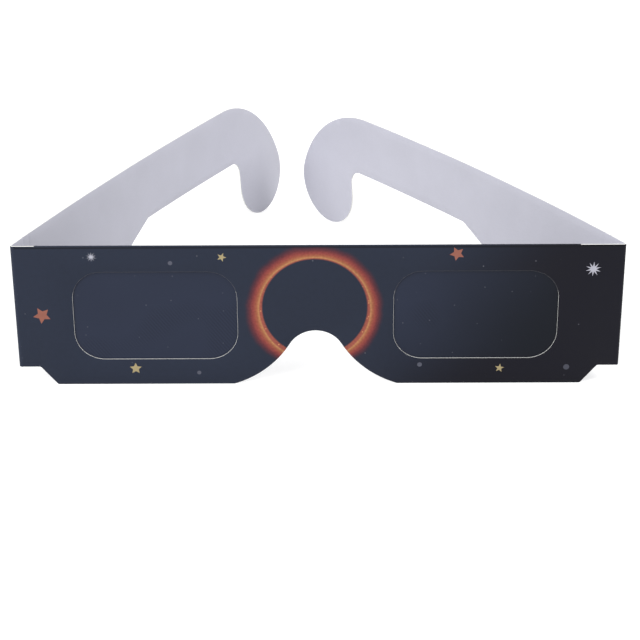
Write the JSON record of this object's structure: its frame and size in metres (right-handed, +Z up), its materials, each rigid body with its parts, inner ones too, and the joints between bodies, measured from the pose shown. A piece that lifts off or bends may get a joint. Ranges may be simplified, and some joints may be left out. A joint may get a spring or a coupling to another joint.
{
  "type": "eclipse glasses",
  "caption": "Folding card eclipse viewing glasses: a flat front with a nose notch, two dark filter films between its panels and two creased temples with ear hooks.",
  "frame": {"origin": "middle of the space the open glasses take on a table: half way along X and along Y, level with the table", "axes": "+X along the front to the viewer's right, +Y from the front towards the ear hooks, +Z up"},
  "size_m": [0.15, 0.132, 0.0374],
  "materials": {
    "printed_card": "satin print",
    "temple_card": "satin coated card",
    "filter_film": "smooth film",
    "glue": "dried"
  },
  "bodies": {
    "front": {"front_panel": "printed_card", "back_panel": "printed_card", "top_fold": "printed_card", "left_filter": "filter_film", "right_filter": "filter_film", "adhesive_layer": "glue", "left_fold": "printed_card", "right_fold": "printed_card"},
    "left_temple": {"left_temple": "temple_card"},
    "right_temple": {"right_temple": "temple_card"}
  },
  "joints": [
    {"name": "left_crease", "type": "hinge", "parent": "front", "child": "left_temple", "pos_m": [-0.07514, -0.06579, 0], "axis": [0, 0, 1], "range_deg": [-2.5, 111.5], "deforming": ["left_fold"]},
    {"name": "right_crease", "type": "hinge", "parent": "front", "child": "right_temple", "pos_m": [0.07522, -0.06579, 0], "axis": [0, 0, -1], "range_deg": [-5, 117.9], "deforming": ["right_fold"]}
  ]
}
